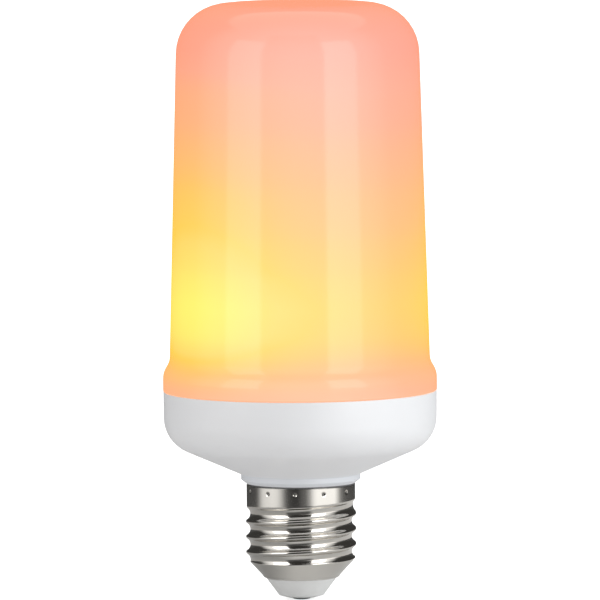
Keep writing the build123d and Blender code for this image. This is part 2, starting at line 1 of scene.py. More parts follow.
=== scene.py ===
import math

import bpy
from mathutils import Matrix, Vector


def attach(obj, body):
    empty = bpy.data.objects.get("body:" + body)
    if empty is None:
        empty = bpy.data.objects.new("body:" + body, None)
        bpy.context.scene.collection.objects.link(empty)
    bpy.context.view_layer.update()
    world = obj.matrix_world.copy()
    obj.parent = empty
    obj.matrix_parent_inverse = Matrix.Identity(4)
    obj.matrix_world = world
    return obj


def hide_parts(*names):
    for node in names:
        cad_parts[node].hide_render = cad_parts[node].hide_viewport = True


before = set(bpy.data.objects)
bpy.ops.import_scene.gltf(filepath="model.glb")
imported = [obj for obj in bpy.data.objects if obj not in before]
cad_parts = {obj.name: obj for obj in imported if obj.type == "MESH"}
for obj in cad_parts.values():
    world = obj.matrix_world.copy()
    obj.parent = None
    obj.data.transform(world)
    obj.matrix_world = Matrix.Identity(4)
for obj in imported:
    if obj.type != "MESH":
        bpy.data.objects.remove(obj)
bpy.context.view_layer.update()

# Screw shell: thin nickel-plated sheet, rolled with the round right-hand thread of an E27 cap.
# A plain band on top is punched eleven times to grip the neck of the base, and the lower end
# is drawn in to a cone that holds the insulator.

# Sizes on the lamp are in millimetres, and those of the studio in metres. Azimuths are in degrees
# to the right of the front.
mm = 0.001
crest = 13.04
cone_foot = 5.3
cone_foot_radius = 8.72
cone_bore = 8.05
cone_bore_foot = 5.5
cone_top = 9.0
cone_top_radius = 12.15
land_top = 10.1
thread_bore = 11.8
band = 12.82
band_foot = 20.6
band_full = 22.4
band_top = 27.32
band_bore = 12.42
row_foot = 5.75
row_top = 27.1
row_height = 0.15


def soften(corners):
    """A turned piece's outline from (radius, height, rounding) corners: each rounded one becomes an arc."""
    arc_step = math.radians(9)
    outline = []
    for i, (radius, height, rounding) in enumerate(corners):
        if rounding == 0 or i in (0, len(corners) - 1):
            outline.append((radius, height))
            continue
        here = Vector((radius, height))
        back = (Vector(corners[i - 1][:2]) - here).normalized()
        ahead = (Vector(corners[i + 1][:2]) - here).normalized()
        half = back.angle(ahead) / 2
        reach = rounding / math.tan(half)
        centre = here + (back + ahead).normalized() * (rounding / math.sin(half))
        start = here + back * reach - centre
        sweep = math.pi - 2 * half
        if start.cross(here + ahead * reach - centre) < 0:
            sweep = -sweep
        steps = max(3, math.ceil(abs(sweep) / arc_step))
        for k in range(steps + 1):
            turn = Matrix.Rotation(sweep * k / steps, 2)
            outline.append(tuple(centre + turn @ start))
    return outline


def turn_piece(name, outline, steps):
    """A point is extruded along the outline and spun round the lamp's axis."""
    weld_gap = 0.01 * mm
    sharp_edge = math.radians(40)
    bpy.ops.object.select_all(action="DESELECT")
    bpy.ops.mesh.primitive_plane_add(size=mm, location=(outline[0][0] * mm, 0, outline[0][1] * mm))
    piece = bpy.context.active_object
    piece.name = name
    piece.data.name = name
    bpy.ops.object.mode_set(mode="EDIT")
    bpy.ops.mesh.merge(type="CENTER")
    for (radius, height), (next_radius, next_height) in zip(outline, outline[1:]):
        step = ((next_radius - radius) * mm, 0, (next_height - height) * mm)
        bpy.ops.mesh.extrude_region_move(TRANSFORM_OT_translate={"value": step})
    bpy.ops.mesh.select_all(action="SELECT")
    bpy.ops.mesh.spin(steps=steps, angle=2 * math.pi, center=(0, 0, 0), axis=(0, 0, 1))
    bpy.ops.mesh.select_all(action="SELECT")
    bpy.ops.mesh.remove_doubles(threshold=weld_gap)
    bpy.ops.mesh.normals_make_consistent(inside=False)
    bpy.ops.object.mode_set(mode="OBJECT")
    bpy.ops.object.transform_apply(location=True, rotation=True, scale=True)
    bpy.ops.object.shade_smooth_by_angle(angle=sharp_edge)
    return piece


def soft_step(value, low, high):
    """0 up to low, 1 from high on, and a soft rise between them."""
    share = min(max((value - low) / (high - low), 0), 1)
    return share * share * (3 - 2 * share)


def blank_radius(height):
    """The shell's outside before its thread is rolled: cone, thread land and band."""
    if height < cone_top:
        share = (height - cone_foot) / (cone_top - cone_foot)
        return cone_foot_radius + share * (cone_top_radius - cone_foot_radius)
    if height < land_top:
        share = (height - cone_top) / (land_top - cone_top)
        return cone_top_radius + share * (crest - cone_top_radius)
    return crest + (band - crest) * soft_step(height, band_foot, band_full)


shell_outline = soften(
    [(cone_bore, cone_bore_foot, 0), (8.38, 5.1, 0.12), (9.0, 5.4, 0.4), (9.14, row_foot, 0)]
)[:-1]
height = row_foot
while height < row_top:
    shell_outline.append((blank_radius(height), height))
    height += row_height
shell_outline += soften(
    [(band, 27.2, 0), (band, band_top, 0.1), (band_bore, band_top, 0.1), (band_bore, 25.3, 0)]
)
shell_outline += [(thread_bore, 24.7), (thread_bore, 9.1), (cone_bore, cone_bore_foot)]
shell = turn_piece("shell_nickel", shell_outline, steps=440)

# Only the outside of the blank is moved, within a skin's depth: the thread is rolled into it, and
# the marks are punched.
root = 12.0
pitch = 3.629
crest_round = 0.5
first_groove = 4.0
last_turn = 5.15
run_out = 0.24
rolled_foot = 5.7
rolled_top = 27.12
skin = 0.08
cone_clear = 10.5
punch_height = 25.85
punch_radius = 0.55
punch_depth = 0.26
punch_azimuths = [-68, -37.2, -6.4, 24.8, 57, 90.6, 124.2, 157.8, 191.3, 224.9, 258.5]
thread_arc = 2 * math.atan((crest - root) / (pitch / 2))
root_round = pitch / 2 / math.sin(thread_arc) - crest_round
for vertex in shell.data.vertices:
    height = vertex.co.z / mm
    radius = math.hypot(vertex.co.x, vertex.co.y) / mm
    blank = blank_radius(height)
    if not rolled_foot < height < rolled_top or abs(radius - blank) > skin:
        continue
    turns = math.atan2(vertex.co.y, vertex.co.x) / (2 * math.pi)
    along = (height - first_groove) / pitch - turns
    groove = turns + round(along)
    from_root = abs(along - round(along)) * pitch
    if from_root < root_round * math.sin(thread_arc):
        thread = root + root_round - math.sqrt(root_round**2 - from_root**2)
    else:
        thread = crest - crest_round + math.sqrt(crest_round**2 - (pitch / 2 - from_root) ** 2)
    depth = (crest - thread) * soft_step(last_turn - groove, 0, run_out)
    # On the cone the groove cuts only what stands out past it.
    if height < cone_clear:
        rolled = min(blank, crest - depth)
    else:
        rolled = blank - depth * (blank - root) / (crest - root)
    azimuth = math.atan2(vertex.co.x, -vertex.co.y)
    for punch in punch_azimuths:
        aside = math.remainder(azimuth - math.radians(punch), 2 * math.pi)
        distance = math.hypot(aside * band, height - punch_height)
        if distance < punch_radius:
            rolled -= punch_depth * (1 - (distance / punch_radius) ** 2) ** 2
    vertex.co.x *= rolled / radius
    vertex.co.y *= rolled / radius


def feed(tree, socket, value):
    """A socket is joined to another node's output, or set to a plain value."""
    if isinstance(value, bpy.types.NodeSocket):
        tree.links.new(value, socket)
    else:
        socket.default_value = value


def add_node(tree, kind, **values):
    """A node of that kind. Its inputs are named, with _ for a space, or numbered as in0, in1 and in2."""
    node = tree.nodes.new(kind)
    for key, value in values.items():
        numbered = key.startswith("in") and key[2:].isdigit()
        feed(tree, node.inputs[int(key[2:]) if numbered else key.replace("_", " ")], value)
    return node


def sum_of(tree, operation, *terms):
    """What a sum on numbers gives."""
    node = tree.nodes.new("ShaderNodeMath")
    node.operation = operation
    for socket, term in zip(node.inputs, terms):
        feed(tree, socket, term)
    return node.outputs["Value"]


def vector_of(tree, operation, *terms):
    """What a sum on places or colours gives: a number for a length, a distance or a dot product."""
    node = tree.nodes.new("ShaderNodeVectorMath")
    node.operation = operation
    for socket, term in zip(node.inputs, terms):
        feed(tree, socket, term)
    return node.outputs["Value" if operation in ("LENGTH", "DISTANCE", "DOT_PRODUCT") else "Vector"]


def rise_of(tree, value, start, end, low=0.0, high=1.0, way="LINEAR"):
    """A number that goes from low to high while the value goes from start to end."""
    node = add_node(tree, "ShaderNodeMapRange", Value=value, From_Min=start, From_Max=end)
    node.inputs["To Min"].default_value = low
    node.inputs["To Max"].default_value = high
    node.interpolation_type = way
    return node.outputs["Result"]


def own_place(tree):
    """The place on the piece that a material is asked for."""
    return add_node(tree, "ShaderNodeTexCoord").outputs["Object"]


def axis_of(tree, place, axis):
    """The X, Y or Z of a place."""
    return add_node(tree, "ShaderNodeSeparateXYZ", Vector=place).outputs[axis]


def spot(azimuth, radius, height):
    """The place at an azimuth round the lamp."""
    angle = math.radians(azimuth)
    return Vector((radius * math.sin(angle), -radius * math.cos(angle), height))


# The marks that handling and making leave on every finish: a slow mottle, and a fine grain.
marks = bpy.data.node_groups.new("making_marks", "ShaderNodeTree")
for name, kind, value in (
    ("Colour", "NodeSocketColor", (0.8, 0.8, 0.8, 1)),
    ("Mottle", "NodeSocketFloat", 0.04),
    ("Mottle Scale", "NodeSocketFloat", 60),
    ("Grain Scale", "NodeSocketFloat", 2500),
    ("Roughness", "NodeSocketFloat", 0.4),
    ("Roughness Spread", "NodeSocketFloat", 0.08),
):
    marks.interface.new_socket(name, in_out="INPUT", socket_type=kind).default_value = value
for name, kind in (
    ("Colour", "NodeSocketColor"),
    ("Roughness", "NodeSocketFloat"),
    ("Height", "NodeSocketFloat"),
):
    marks.interface.new_socket(name, in_out="OUTPUT", socket_type=kind)
given = add_node(marks, "NodeGroupInput").outputs
place = own_place(marks)
mottling = add_node(marks, "ShaderNodeTexNoise", Vector=place, Scale=given["Mottle Scale"], Detail=3.0)
grain = add_node(marks, "ShaderNodeTexNoise", Vector=place, Scale=given["Grain Scale"], Detail=2.0)
swing = sum_of(marks, "MULTIPLY_ADD", mottling.outputs["Fac"], 2.0, -1.0)
shade = sum_of(marks, "MULTIPLY_ADD", swing, given["Mottle"], 1.0)
rough = sum_of(marks, "MULTIPLY_ADD", swing, given["Roughness Spread"], given["Roughness"])
add_node(
    marks,
    "NodeGroupOutput",
    Colour=vector_of(marks, "MULTIPLY", given["Colour"], shade),
    Roughness=rough,
    Height=grain.outputs["Fac"],
)


def finish_with_marks(
    name, colour, roughness, spread, mottle, mottle_scale, grain_scale, grain_depth,
    grain_strength=0.6, metallic=0.0,
):
    """A material with the making marks in its colour, roughness and surface."""
    material = bpy.data.materials.new(name)
    material.use_nodes = True
    tree = material.node_tree
    shader = tree.nodes["Principled BSDF"]
    group = tree.nodes.new("ShaderNodeGroup")
    group.node_tree = marks
    group.inputs["Colour"].default_value = (*colour, 1)
    group.inputs["Mottle"].default_value = mottle
    group.inputs["Mottle Scale"].default_value = mottle_scale
    group.inputs["Grain Scale"].default_value = grain_scale
    group.inputs["Roughness"].default_value = roughness
    group.inputs["Roughness Spread"].default_value = spread
    bump = add_node(tree, "ShaderNodeBump", Strength=grain_strength, Distance=grain_depth * mm)
    tree.links.new(group.outputs["Height"], bump.inputs["Height"])
    tree.links.new(group.outputs["Colour"], shader.inputs["Base Color"])
    tree.links.new(group.outputs["Roughness"], shader.inputs["Roughness"])
    tree.links.new(bump.outputs["Normal"], shader.inputs["Normal"])
    shader.inputs["Metallic"].default_value = metallic
    return material


def paint_shade(material, share):
    """The colour of a finish is multiplied by a share that changes over the piece, to paint shade on it."""
    tree = material.node_tree
    base = tree.nodes["Principled BSDF"].inputs["Base Color"]
    tree.links.new(vector_of(tree, "MULTIPLY", base.links[0].from_socket, share), base)


# Nickel plate: bright, with painted shade darkening the punched marks and a painted shadow in the gap under
# the collar.
pit_shade_core = 0.25
gap_shadow_foot = 27.05
gap_shadow_full = 27.25
nickel = finish_with_marks(
    "nickel_plate", (0.69, 0.665, 0.62), roughness=0.12, spread=0.04, mottle=0.04, mottle_scale=90,
    grain_scale=1800, grain_depth=0.003, metallic=1.0,
)
tree = nickel.node_tree
place = own_place(tree)
nearest = 1.0
for azimuth in punch_azimuths:
    away = vector_of(tree, "DISTANCE", place, spot(azimuth, band * mm, punch_height * mm))
    nearest = sum_of(tree, "MINIMUM", nearest, away)
# Painted shade: the colour darkens toward the middle of each punched mark.
pit_shade = rise_of(tree, nearest, pit_shade_core * mm, punch_radius * mm, low=0.25)
# Painted shadow: the band's top edge, under the collar, is darkened to half.
gap_shadow = rise_of(tree, axis_of(tree, place, "Z"), gap_shadow_foot * mm, gap_shadow_full * mm, low=1.0, high=0.5)
paint_shade(nickel, sum_of(tree, "MULTIPLY", pit_shade, gap_shadow))
shell.data.materials.append(nickel)
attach(shell, "root")
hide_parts("screw_shell")

# Cap insulator: a white cone of fired compound, pressed into the open end of the shell.
# Its nose is flat and a little dished where the contact's rivet pulls it up.
rivet_hole = 1.15
rivet_seat = 0.9
cup_floor = 6.5
cup_radius = 3.2
cup_top = 9.2
flange_radius = 10.8
insulator_outline = soften(
    [
        (rivet_hole, rivet_seat, 0),
        (2.25, rivet_seat, 0),
        (2.3, 0.34, 0.1),
        (3.5, 0.53, 0.4),
        (5.28, 0.98, 0.5),
        (8.34, 5.1, 0.2),
        (8.12, 5.55, 0),
        (flange_radius, 8.5, 0),
        (flange_radius, cup_top, 0.2),
        (cup_radius, cup_top, 0.3),
        (cup_radius, cup_floor, 0),
        (rivet_hole, cup_floor, 0),
        (rivet_hole, rivet_seat, 0),
    ]
)
insulator = turn_piece("insulator_cone", insulator_outline, steps=128)
insulator_compound = finish_with_marks(
    "insulator_compound", (0.76, 0.76, 0.75), roughness=0.5, spread=0.08, mottle=0.05, mottle_scale=400,
    grain_scale=3500, grain_depth=0.01,
)
insulator.data.materials.append(insulator_compound)
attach(insulator, "root")
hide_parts("cap_insulator")

# Centre contact: a tinned rivet with a low head, worn a little darker where the holder's spring
# presses. Its hollow end is curled over in the insulator's cup, and holds the live lead.
head_radius = 2.25
curl_radius = 1.9
curl_top = 6.95
rivet_bore = 0.65
rivet_bore_foot = 2.0
contact_outline = soften(
    [
        (0, 0, 0),
        (1.3, 0.0, 0.4),
        (2.0, 0.14, 0.15),
        (head_radius, 0.38, 0.15),
        (head_radius, rivet_seat, 0),
        (rivet_hole, rivet_seat, 0),
        (rivet_hole, cup_floor, 0),
        (curl_radius, cup_floor, 0.08),
        (curl_radius, curl_top, 0.12),
        (rivet_bore, curl_top, 0.12),
        (rivet_bore, rivet_bore_foot, 0.1),
        (0, rivet_bore_foot, 0),
    ]
)
contact = turn_piece("contact_rivet", contact_outline, steps=64)
contact_tin = finish_with_marks(
    "contact_tin", (0.42, 0.42, 0.41), roughness=0.38, spread=0.12, mottle=0.18, mottle_scale=900,
    grain_scale=5000, grain_depth=0.01, metallic=1.0,
)
contact.data.materials.append(contact_tin)
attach(contact, "root")
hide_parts("centre_contact")

# Leads: a red insulated wire from the contact's rivet to the driver board, and a bare tinned
# wire from that board, bent round the neck's foot and trapped between neck and shell.


def dress(material, *names):
    """A CAD node whose shape is right keeps it, and gets its finish."""
    for name in names:
        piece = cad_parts[name]
        piece.data.materials.clear()
        piece.data.materials.append(material)


lead_sleeve = finish_with_marks(
    "lead_sleeve", (0.55, 0.04, 0.03), roughness=0.45, spread=0.08, mottle=0.08, mottle_scale=300,
    grain_scale=3000, grain_depth=0.01,
)
dress(lead_sleeve, "live_lead")
tinned_copper = finish_with_marks(
    "tinned_copper", (0.72, 0.71, 0.68), roughness=0.3, spread=0.1, mottle=0.1, mottle_scale=500,
    grain_scale=4000, grain_depth=0.005, metallic=1.0,
)
dress(tinned_copper, "neutral_lead")

# Base housing: one white moulding with a neck inside the cap, a collar with a chamfered foot, and
# a shallow bowl. A groove round its edge takes the cover's bead. The posts and seats that stand
# inside it are left out here, because nothing in the closed lamp shows them.
neck_foot = 13.0
neck_bore = 9.9
neck_radius = 11.45
neck_band_radius = 12.45
collar_foot = 27.65
collar_radius = 14.1
bowl_top = 49.448
edge_radius = 30.6
bowl_bore = 30.15
snap_foot = 46.9
snap_middle = 47.455
snap_top = 48.0
snap_depth = 0.25
housing_outline = soften(
    [
        (neck_bore, neck_foot, 0),
        (neck_radius, neck_foot, 0.2),
        (neck_radius, 25.2, 0),
        (neck_band_radius, 25.8, 0.2),
        (neck_band_radius, collar_foot, 0),
        (12.95, collar_foot, 0.15),
        (collar_radius, 28.55, 0.3),
        (collar_radius, 29.8, 0.35),
        (32.15, 37.648, 8.4),
        (32.25, bowl_top, 0.2),
        (edge_radius, bowl_top, 0.15),
        (edge_radius, snap_top, 0.15),
        (edge_radius + snap_depth, snap_middle, 0.15),
        (edge_radius, snap_foot, 0.15),
        (edge_radius, 45.555, 0),
        (bowl_bore, 45.555, 0),
        (bowl_bore, 38.959, 6.4),
        (neck_bore, 30.155, 0.8),
        (neck_bore, neck_foot, 0),
    ]
)
housing = turn_piece("housing_moulding", housing_outline, steps=192)


def ramp_of(tree, value, interpolation, stops):
    """A colour ramp with those stops, each a position and a grey level or a colour."""
    node = add_node(tree, "ShaderNodeValToRGB", Fac=value)
    node.color_ramp.interpolation = interpolation
    for k, (at, colour) in enumerate(stops):
        stop = node.color_ramp.elements[k] if k < 2 else node.color_ramp.elements.new(at)
        stop.position = at
        stop.color = (*(colour if isinstance(colour, tuple) else (colour,) * 3), 1)
    return node.outputs["Color"]


# White plastic, with painted shade: a touch greyer and bluer on the collar under the bowl, and a dark
# painted shadow in the gap over the shell's band.
white_plastic = finish_with_marks(
    "housing_plastic", (0.82, 0.825, 0.84), roughness=0.42, spread=0.05, mottle=0.02, mottle_scale=70,
    grain_scale=3200, grain_depth=0.006,
)
tree = white_plastic.node_tree
up_collar = rise_of(tree, axis_of(tree, own_place(tree), "Z"), 27.5 * mm, 30 * mm)
painted_gap_shadow = 0.25
painted_collar_shade = (0.91, 0.93, 0.955)
# Painted shadow where the neck shows in the gap, then painted shade over the collar up to the bowl.
painted_shades = [(0.0, painted_gap_shadow), (0.05, painted_gap_shadow), (0.07, painted_collar_shade), (0.93, painted_collar_shade), (0.96, 1.0)]
paint_shade(white_plastic, ramp_of(tree, up_collar, "LINEAR", painted_shades))
housing.data.materials.append(white_plastic)
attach(housing, "root")
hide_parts("base_housing")

# Driver board: a green printed board that stands on edge in neck and bowl. A chip, a rectifier,
# capacitors, an inductor and a resistor are soldered to it. The control board lies over it, on
# the far end of the pin header.
board_mask = finish_with_marks(
    "board_mask", (0.03, 0.17, 0.07), roughness=0.35, spread=0.08, mottle=0.15, mottle_scale=250,
    grain_scale=2600, grain_depth=0.01,
)
dress(board_mask, "driver_board", "control_board")
chip_black = finish_with_marks(
    "chip_compound", (0.025, 0.025, 0.027), roughness=0.55, spread=0.1, mottle=0.25, mottle_scale=700,
    grain_scale=4500, grain_depth=0.02,
)
dress(chip_black, "driver_chip", "bridge_rectifier", "controller_chip", "pin_header")
capacitor_sleeve = finish_with_marks(
    "capacitor_sleeve", (0.03, 0.035, 0.05), roughness=0.28, spread=0.08, mottle=0.2, mottle_scale=300,
    grain_scale=1500, grain_depth=0.005,
)
dress(capacitor_sleeve, "input_capacitor", "output_capacitor")
ferrite = finish_with_marks(
    "ferrite_drum", (0.09, 0.07, 0.06), roughness=0.6, spread=0.1, mottle=0.3, mottle_scale=500,
    grain_scale=3000, grain_depth=0.03,
)
dress(ferrite, "inductor")
resistor_coat = finish_with_marks(
    "resistor_coat", (0.10, 0.28, 0.36), roughness=0.4, spread=0.08, mottle=0.1, mottle_scale=400,
    grain_scale=2500, grain_depth=0.01,
)
dress(resistor_coat, "fusible_resistor")

# LED carrier: a white moulded tube that stands on a flange over the bowl. Three screws hold the
# flange down on the housing's posts, and the round board is screwed to its top.
carrier_plastic = finish_with_marks(
    "carrier_plastic", (0.76, 0.76, 0.74), roughness=0.42, spread=0.06, mottle=0.04, mottle_scale=80,
    grain_scale=2500, grain_depth=0.01,
)
dress(carrier_plastic, "led_carrier")

# LED boards: a flexible white board wrapped round the carrier with twelve upright columns of
# chips under yellow phosphor, a round one on top, and the zinc-plated screws that hold them.
white_mask = finish_with_marks(
    "white_mask", (0.78, 0.77, 0.72), roughness=0.32, spread=0.06, mottle=0.04, mottle_scale=120,
    grain_scale=3000, grain_depth=0.005,
)
dress(white_mask, "side_led_board", "top_led_board")
phosphor = finish_with_marks(
    "phosphor", (0.85, 0.55, 0.08), roughness=0.35, spread=0.08, mottle=0.1, mottle_scale=900,
    grain_scale=5000, grain_depth=0.01,
)
dress(phosphor, "top_led_chips", *[f"led_column_{k:02d}" for k in range(1, 13)])
zinc_plate = finish_with_marks(
    "zinc_plate", (0.60, 0.60, 0.58), roughness=0.32, spread=0.1, mottle=0.12, mottle_scale=500,
    grain_scale=4000, grain_depth=0.01, metallic=1.0,
)
dress(zinc_plate, "carrier_screws", "top_board_screws")

# Cover: an opal moulding, lit from inside in flame colours. Its flared rim sits on the housing's
# edge, and the bead on its skirt snaps into the groove there. Its wall tapers a little, and its
# top is nearly flat with a large rounding.
skirt_foot = 45.755
skirt_radius = 30.5
skirt_bore = 29.3
rim_foot = 49.475
rim_radius = 32.3
shoulder = 28.35
crown_top = 141.0
crown_rise = 0.45
crown_flat = 16.0
crown_steps = 8
roof = 139.4
crown_bend = (shoulder**2 + crown_rise**2) / (2 * crown_rise)
crown_points = []
for k in range(crown_steps, -1, -1):
    radius = crown_flat * k / crown_steps
    crown_points.append((radius, crown_top - crown_bend + math.sqrt(crown_bend**2 - radius**2)))
cover_outline = soften(
    [
        (skirt_bore, skirt_foot, 0),
        (skirt_radius, skirt_foot, 0.15),
        (skirt_radius, snap_foot, 0.15),
        (skirt_radius + snap_depth, snap_middle, 0.15),
        (skirt_radius, snap_top, 0.15),
        (skirt_radius, rim_foot, 0),
        (rim_radius, rim_foot, 0.3),
        (rim_radius, 53.85, 4.6),
        (30.7, 56.5, 4.4),
        (shoulder, 140.55, 12.0),
        crown_points[0] + (0,),
    ]
)[:-1]
cover_outline += crown_points
cover_outline += soften([(0, roof, 0), (26.75, roof, 10.4), (29.05, 58.0, 3.0), (skirt_bore, skirt_foot, 0)])
cover = turn_piece("cover_opal", cover_outline, steps=192)

opal = finish_with_marks(
    "opal_glow", (0.12, 0.10, 0.14), roughness=0.14, spread=0.03, mottle=0.03, mottle_scale=45,
    grain_scale=1500, grain_depth=0.001, grain_strength=0.5,
)
tree = opal.node_tree
place = own_place(tree)
up = axis_of(tree, place, "Z")

# The flame is cool at the rim, hottest a quarter of the way up, and cools again to the top.
flame_foot = 45
flame_top = 140
heat = ramp_of(
    tree,
    rise_of(tree, up, flame_foot * mm, flame_top * mm),
    "CARDINAL",
    [
        (0.03, 0.22),
        (0.078, 0.25),
        (0.113, 0.29),
        (0.147, 0.38),
        (0.19, 0.51),
        (0.25, 0.58),
        (0.3, 0.565),
        (0.36, 0.49),
        (0.45, 0.385),
        (0.57, 0.285),
        (0.7, 0.18),
        (0.82, 0.12),
        (0.94, 0.03),
        (1.0, 0.02),
    ],
)


def toward(tree, place, azimuth, radius):
    """How far a place lies toward an azimuth, as a share of the radius."""
    return vector_of(tree, "DOT_PRODUCT", place, spot(azimuth, 1 / radius, 0))


# Two tongues of flame are at their brightest, one at the front left and a weaker one behind, and
# between them the front right is a little duller. They stop short of the rim.
tongue_focus = 4.5
heat_contrast = 1.5
tongues = 0.0
for azimuth, amount in ((-54, 0.98), (38, -0.24), (148, 0.72)):
    aimed = sum_of(tree, "MAXIMUM", toward(tree, place, azimuth, skirt_radius * mm), 0.0)
    tongues = sum_of(tree, "MULTIPLY_ADD", sum_of(tree, "POWER", aimed, tongue_focus), amount, tongues)
above_rim = rise_of(tree, up, 49.5 * mm, 57.5 * mm, low=0.1)
hot = sum_of(tree, "POWER", heat, heat_contrast)
burst = sum_of(tree, "MULTIPLY", hot, sum_of(tree, "MULTIPLY", tongues, above_rim))
flicker_depth = 0.06
stretch = add_node(tree, "ShaderNodeMapping", Vector=place, Scale=(1, 1, 0.45)).outputs["Vector"]
wander = add_node(tree, "ShaderNodeTexNoise", Vector=stretch, Scale=30.0, Detail=1.5, Roughness=0.4)
flicker = sum_of(tree, "MULTIPLY_ADD", wander.outputs["Fac"], flicker_depth, -flicker_depth / 2)
flame = ramp_of(
    tree,
    sum_of(tree, "ADD", sum_of(tree, "ADD", heat, burst), flicker),
    "LINEAR",
    [
        (0.0, (0.93, 0.265, 0.135)),
        (0.12, (0.93, 0.328, 0.155)),
        (0.2, (0.93, 0.377, 0.12)),
        (0.31, (0.93, 0.436, 0.078)),
        (0.41, (0.94, 0.495, 0.035)),
        (0.55, (0.95, 0.573, 0.005)),
        (0.65, (0.97, 0.629, 0.045)),
        (0.8, (0.985, 0.715, 0.055)),
        (1.0, (1.0, 0.825, 0.06)),
    ],
)

# The wall looks paler where it is seen square on than at its edges, where the light has more
# tinted plastic to cross. The upper wall, the crown and the rim are a little paler still.
slant = add_node(tree, "ShaderNodeLayerWeight", Blend=0.5)
square_on = sum_of(tree, "POWER", sum_of(tree, "SUBTRACT", 1.0, slant.outputs["Facing"]), 4.0)
upper_wall = sum_of(tree, "MULTIPLY", rise_of(tree, up, 100 * mm, 130 * mm), square_on)
crown = rise_of(tree, up, 131 * mm, 139 * mm)
rim = rise_of(tree, up, 57.5 * mm, 51.5 * mm)
glow = flame
for added, where in (
    ((0.11, 0.11, 0.1), square_on),
    ((0, 0.02, 0.035), upper_wall),
    ((0, 0.035, 0.01), crown),
    ((0, 0, 0.05), rim),
):
    glow = vector_of(tree, "MULTIPLY_ADD", added, where, glow)
shader = tree.nodes["Principled BSDF"]
tree.links.new(glow, shader.inputs["Emission Color"])
shader.inputs["Emission Strength"].default_value = 1.0
shader.inputs["Specular IOR Level"].default_value = 0.25
cover.data.materials.append(opal)
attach(cover, "root")
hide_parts("diffuser_cover")

# Floor: a pale studio floor that the lamp's tip stands on. It looks white to the camera and keeps
# the lamp's shadow. Reflections alone see it darker: on the left, a little on the right, and most
# in a sector in front.
floor_grey = 0.8
floor_lift = 0.75
sector_azimuth = -4.5
sector_edge = math.cos(math.radians(33))
sector_full = math.cos(math.radians(22))
bpy.ops.object.select_all(action="DESELECT")
bpy.ops.mesh.primitive_plane_add(size=8, location=(0, 0, 0))
floor = bpy.context.active_object
floor.name = "studio_floor"
pale = bpy.data.materials.new("pale_floor")
pale.use_nodes = True
tree = pale.node_tree
tree.nodes.clear()
seen = add_node(tree, "ShaderNodeLightPath").outputs
place = own_place(tree)
aside = axis_of(tree, place, "X")
left = rise_of(tree, aside, -0.001, -0.014, high=0.42, way="SMOOTHSTEP")
right = rise_of(tree, aside, 0.003, 0.016, high=0.15, way="SMOOTHSTEP")
in_front = toward(tree, vector_of(tree, "NORMALIZE", place), sector_azimuth, 1)
sector = rise_of(tree, in_front, sector_edge, sector_full)
beyond_tip = rise_of(tree, vector_of(tree, "LENGTH", place), 0.02, 0.042, high=0.88)
front = sum_of(tree, "MULTIPLY", sector, beyond_tip)
darkest = sum_of(tree, "MAXIMUM", sum_of(tree, "MAXIMUM", left, right), front)
shaded = sum_of(tree, "MULTIPLY", seen["Is Glossy Ray"], darkest)
matt_grey = sum_of(tree, "MULTIPLY_ADD", shaded, -floor_grey, floor_grey)
matt = add_node(tree, "ShaderNodeBsdfDiffuse", Color=matt_grey)
lift_strength = sum_of(tree, "MULTIPLY", seen["Is Camera Ray"], floor_lift)
lift = add_node(tree, "ShaderNodeEmission", Color=(1, 1, 1, 1), Strength=lift_strength)
both = add_node(tree, "ShaderNodeAddShader", in0=matt.outputs[0], in1=lift.outputs[0])
add_node(tree, "ShaderNodeOutputMaterial", Surface=both.outputs[0])
floor.data.materials.append(pale)

# Cards: three curved sheets that only reflections see. A dark one stands on the camera's side, a
# dark one with soft ends stands behind the lamp, and a low ring on the floor grades from dark to
# bright as it goes round.
card_radius = 0.18
card_height = 0.35
card_foot = 0.001
card_steps = 64


def stand_card(name, low, high, radius, tall):
    """An upright curved sheet round the lamp, from azimuth low to high."""
    bpy.ops.object.select_all(action="DESELECT")
    spots = [spot(low + (high - low) * k / card_steps, radius, card_foot) for k in range(card_steps + 1)]
    bpy.ops.mesh.primitive_plane_add(size=mm, location=spots[0])
    card = bpy.context.active_object
    card.name = name
    bpy.ops.object.mode_set(mode="EDIT")
    bpy.ops.mesh.merge(type="CENTER")
    for here, there in zip(spots, spots[1:]):
        bpy.ops.mesh.extrude_region_move(TRANSFORM_OT_translate={"value": there - here})
    bpy.ops.mesh.select_all(action="SELECT")
    bpy.ops.mesh.extrude_region_move(TRANSFORM_OT_translate={"value": (0, 0, tall)})
    bpy.ops.object.mode_set(mode="OBJECT")
    bpy.ops.object.transform_apply(location=True, rotation=True, scale=True)
    card.visible_camera = False
    card.visible_diffuse = False
    card.visible_shadow = False
    card.visible_transmission = False
    paper = bpy.data.materials.new(name)
    paper.use_nodes = True
    paper.node_tree.nodes.clear()
    card.data.materials.append(paper)
    return paper.node_tree


tree = stand_card("front_card", -32, 23, card_radius, card_height)
dim = add_node(tree, "ShaderNodeEmission", Color=(0.035, 0.034, 0.032, 1), Strength=1.0)
add_node(tree, "ShaderNodeOutputMaterial", Surface=dim.outputs[0])

tree = stand_card("rear_card", 60, 285, card_radius, card_height)
dim = add_node(tree, "ShaderNodeEmission", Color=(0.05, 0.049, 0.047, 1), Strength=1.0)
clear = add_node(tree, "ShaderNodeBsdfTransparent")
clear_from = math.cos(math.radians(111))
solid_from = math.cos(math.radians(86))
solid = rise_of(tree, toward(tree, own_place(tree), 172.5, card_radius), clear_from, solid_from)
soft_ended = add_node(tree, "ShaderNodeMixShader", in0=solid, in1=clear.outputs[0], in2=dim.outputs[0])
add_node(tree, "ShaderNodeOutputMaterial", Surface=soft_ended.outputs[0])

